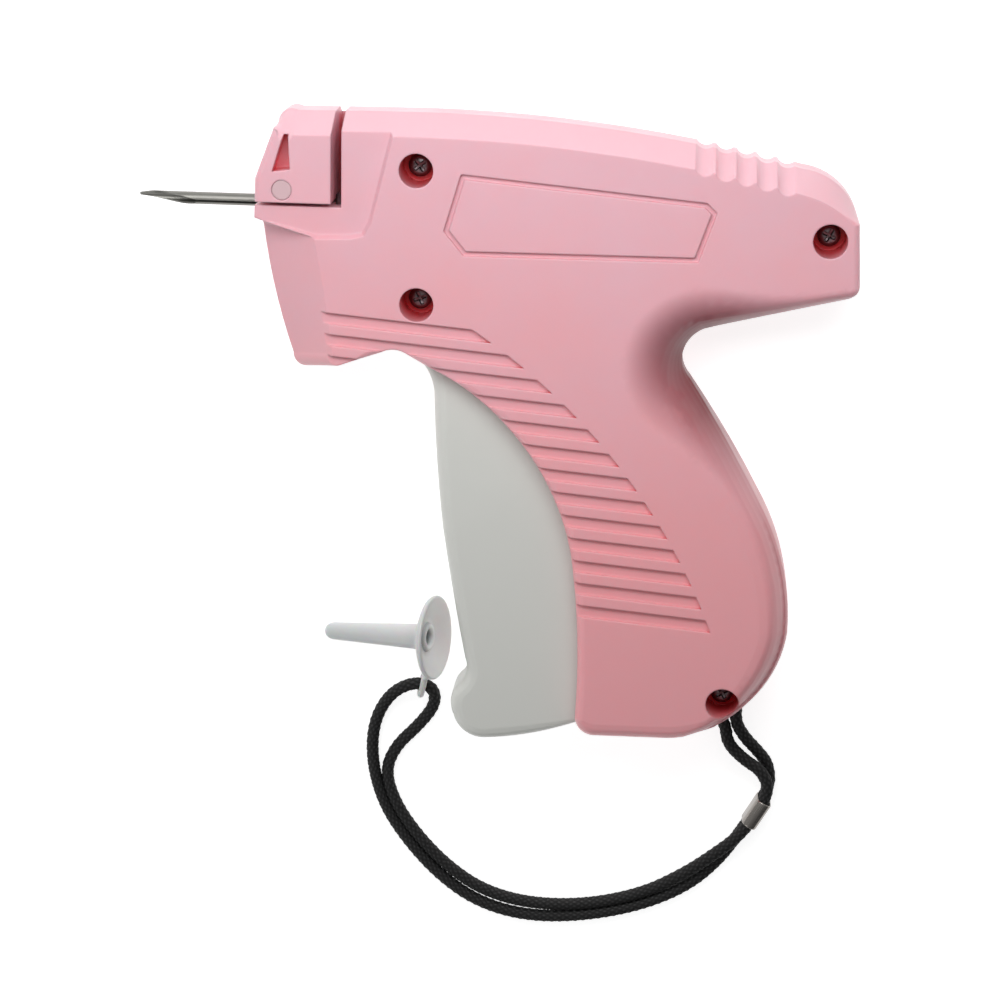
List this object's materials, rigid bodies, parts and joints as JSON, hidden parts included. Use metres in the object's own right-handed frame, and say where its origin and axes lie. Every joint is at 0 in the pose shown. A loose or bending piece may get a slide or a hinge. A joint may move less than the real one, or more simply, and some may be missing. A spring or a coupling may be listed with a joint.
{
  "type": "garment tag attacher",
  "caption": "Pistol-grip garment tag attacher lying on its side: hollow two-part casing, squeeze trigger, slotted steel needle, cord lanyard with needle cap.",
  "frame": {"origin": "on the plane that the tool rests on, under the middle of its length from needle tip to rear and of its height from casing top to trigger toe, the lanyard not counted", "axes": "+X from the needle tip towards the casing's rear, +Y from the trigger's toe towards the casing's top edge, +Z out of the left side face, with the casing's parting plane at 13 mm"},
  "size_m": [0.1704, 0.2101, 0.026],
  "materials": {
    "pink_plastic": "moulded, light satin",
    "plug_plastic": "moulded",
    "screw_steel": "plated",
    "steel": "ground",
    "dark_plastic": "moulded",
    "cord": "braided",
    "ferrule_steel": "crimped",
    "cap_plastic": "translucent moulded",
    "white_plastic": "moulded, satin",
    "inner_plastic": "moulded"
  },
  "bodies": {
    "casing": {"left_shell": "pink_plastic", "right_shell": "pink_plastic", "nose_cover": "pink_plastic", "nose_plug": "plug_plastic", "casing_screws": "screw_steel", "needle": "steel", "needle_hub": "dark_plastic", "cutter_blade": "steel", "trigger_pin": "steel", "lever_pin": "steel", "feed_axle": "steel", "detent_spring": "steel", "return_spring": "steel", "lanyard_anchor": "cord", "lanyard_cord": "cord", "lanyard_ferrule": "ferrule_steel", "needle_cap": "cap_plastic"},
    "trigger_body": {"trigger": "white_plastic"},
    "lever_body": {"drive_lever": "steel", "slide_pin": "steel", "trigger_roller_pin": "steel", "link_pin": "steel"},
    "slide_body": {"slide_block": "inner_plastic", "push_rod": "steel"},
    "link_body": {"feed_link": "inner_plastic"},
    "wheel_body": {"feed_wheel": "inner_plastic"},
    "lock_body": {"needle_lock_lever": "white_plastic"}
  },
  "joints": [
    {"name": "trigger_pull", "type": "hinge", "parent": "casing", "child": "trigger_body", "pos_m": [0.03506, -0.06206, 0.013], "axis": [0, 0, -1], "range_deg": [0, 14.02], "stiffness_Nm_per_rad": 1.2, "springref_deg": -28.65, "deforming": ["return_spring", "detent_spring"]},
    {"name": "lever_swing", "type": "hinge", "parent": "casing", "child": "lever_body", "pos_m": [0.03507, -0.00197, 0.013], "axis": [0, 0, 1], "range_deg": [0, 49.2]},
    {"name": "rod_stroke", "type": "slide", "parent": "casing", "child": "slide_body", "axis": [-1, 0, 0], "range_m": [0, 0.04829]},
    {"name": "link_stroke", "type": "slide", "parent": "casing", "child": "link_body", "axis": [-1, 0, 0], "range_m": [0, 0.00416]},
    {"name": "feed_turn", "type": "hinge", "parent": "casing", "child": "wheel_body", "pos_m": [-0.0327, 0.0463, 0.013], "axis": [0, 0, 1], "range_deg": [0, 30]},
    {"name": "needle_lock", "type": "hinge", "parent": "casing", "child": "lock_body", "pos_m": [-0.04605, 0.063, 0], "axis": [0, 0, -1], "range_deg": [0, 90]}
  ],
  "couplings": [
    {"joint": "lever_swing", "follows": "trigger_pull", "ratio": 3.5092},
    {"joint": "rod_stroke", "follows": "trigger_pull", "m_per_rad": 0.19734},
    {"joint": "link_stroke", "follows": "trigger_pull", "m_per_rad": 0.017012},
    {"joint": "feed_turn", "follows": "trigger_pull", "ratio": 2.1398}
  ]
}
